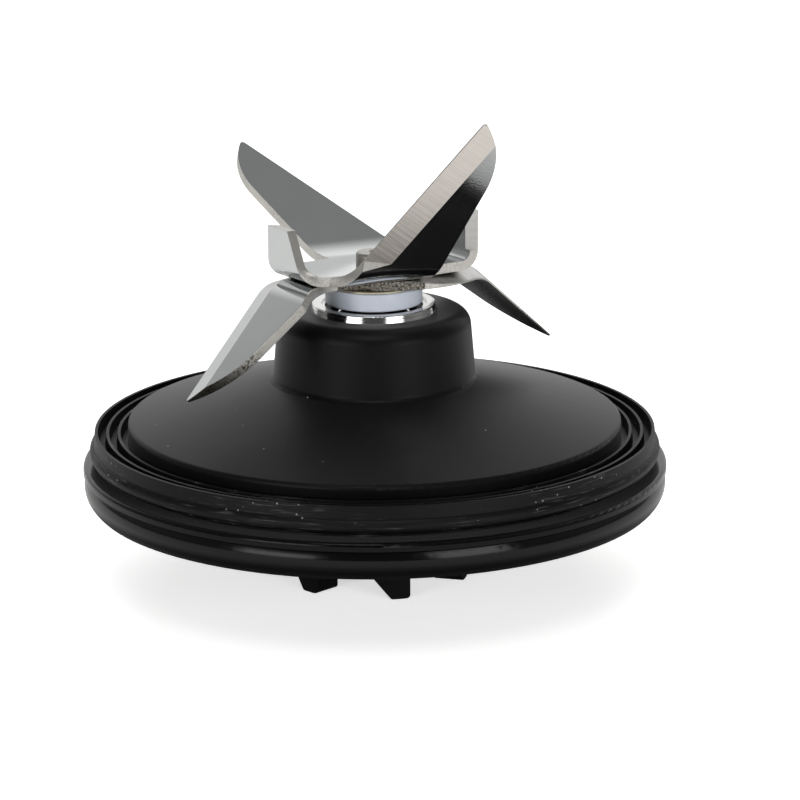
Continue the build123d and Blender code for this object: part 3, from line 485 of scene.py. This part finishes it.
# Two soft-edged panels in front, left and right, that only reflections see, in place of the lamps there
aside = add(tree, "Math", {0: toward.outputs["X"]}, operation="ABSOLUTE")
front = add(tree, "Math", {0: toward.outputs["Y"], 1: -1.0}, operation="MULTIPLY")
turn = add(tree, "Math", {0: aside.outputs[0], 1: front.outputs[0]}, operation="ARCTAN2")
off_axis = add(tree, "Math", {0: turn.outputs[0], 1: PANEL_TURN}, operation="SUBTRACT")
swing = add(tree, "Math", {0: off_axis.outputs[0]}, operation="ABSOLUTE")
across = add(
    tree,
    "MapRange",
    {0: swing.outputs[0], 1: PANEL_CORE, 2: PANEL_EDGE, 3: 1.0, 4: 0.0},
    interpolation_type="SMOOTHSTEP",
)
rise = add(tree, "Math", {0: toward.outputs["Z"], 1: PANEL_RISE}, operation="SUBTRACT")
climb = add(tree, "Math", {0: rise.outputs[0]}, operation="ABSOLUTE")
upright = add(
    tree, "MapRange", {0: climb.outputs[0], 1: PANEL_RISE_CORE, 2: PANEL_RISE_EDGE, 3: PANEL_LEVEL, 4: 0.0}
)
panels = add(tree, "Math", {0: across.outputs[0], 1: upright.outputs[0]}, operation="MULTIPLY")
rays = add(tree, "LightPath", {})
mirrored = add(
    tree,
    "Math",
    {0: rays.outputs["Is Glossy Ray"], 1: rays.outputs["Is Transmission Ray"]},
    operation="MAXIMUM",
)
around = add(
    tree,
    "Math",
    {0: panels.outputs[0], 1: mirrored.outputs[0], 2: walls.outputs[0]},
    operation="MULTIPLY_ADD",
)
strength = add(tree, "Mix", {0: rays.outputs["Is Camera Ray"], 2: around.outputs[0], 3: 1.0})
feed(tree, tree.nodes["Background"], {"Color": linear("#ffffff"), "Strength": strength.outputs[0]})


def softbox(name, azimuth, elevation, distance, width, height, radiance, mirrored):
    """A soft light aimed at the object, in degrees and metres.

    Azimuth 0 is behind the camera and positive is to the right; mirrored says whether reflections see it.
    """
    lamp = bpy.data.lights.new(name, "AREA")
    lamp.shape = "RECTANGLE"
    lamp.size = width
    lamp.size_y = height
    lamp.energy = radiance * pi * width * height
    light = bpy.data.objects.new(name, lamp)
    bpy.context.scene.collection.objects.link(light)
    turn, tilt = radians(azimuth), radians(elevation)
    light.location = Vector((cos(tilt) * sin(turn), -cos(tilt) * cos(turn), sin(tilt))) * distance
    light.rotation_euler = light.location.to_track_quat("Z", "Y").to_euler()
    light.visible_camera = False
    light.visible_glossy = mirrored


softbox("softbox_left", -40, 12, 1.1, 0.6, 0.34, 9.5, mirrored=False)
softbox("softbox_right", 37, 12, 1.1, 0.62, 0.34, 11.5, mirrored=False)
softbox("softbox_top", 0, 60, 1.2, 0.7, 0.5, 2.5, mirrored=True)
softbox("softbox_back", 180, 40, 1.5, 1.6, 0.5, 5.0, mirrored=False)

# Camera: the photograph's view, 800 pixels square. The target is a point on the spindle's axis.
FRAME_PIXELS = 800
FOCAL_PIXELS = 3790
SENSOR = 36
DISTANCE = 587
CLIP_START = 10
ELEVATION = radians(16.41)
ROLL = radians(-0.40)
TARGET_HEIGHT = 17.2
TARGET_PIXEL = (375.03, 465.25)
target = Vector((0, 0, TARGET_HEIGHT)) * MM
forward = Vector((0, cos(ELEVATION), -sin(ELEVATION)))
level_up = Vector((0, sin(ELEVATION), cos(ELEVATION)))
right = Vector((cos(ROLL), 0, 0)) + level_up * sin(ROLL)
up = right.cross(forward).normalized()
middle = FRAME_PIXELS / 2
aim = forward * FOCAL_PIXELS + right * (middle - TARGET_PIXEL[0]) + up * (TARGET_PIXEL[1] - middle)
aim.normalize()
side = aim.cross(up).normalized()
turned = Matrix((side, side.cross(aim), -aim)).transposed().to_4x4()
lens = bpy.data.cameras.new("camera")
lens.sensor_width = SENSOR
lens.lens = SENSOR * FOCAL_PIXELS / FRAME_PIXELS
lens.clip_start = CLIP_START * MM
camera = bpy.data.objects.new("camera", lens)
bpy.context.scene.collection.objects.link(camera)
camera.matrix_world = Matrix.Translation(target - forward * DISTANCE * MM) @ turned
bpy.context.scene.camera = camera
bpy.context.scene.view_settings.view_transform = "Standard"
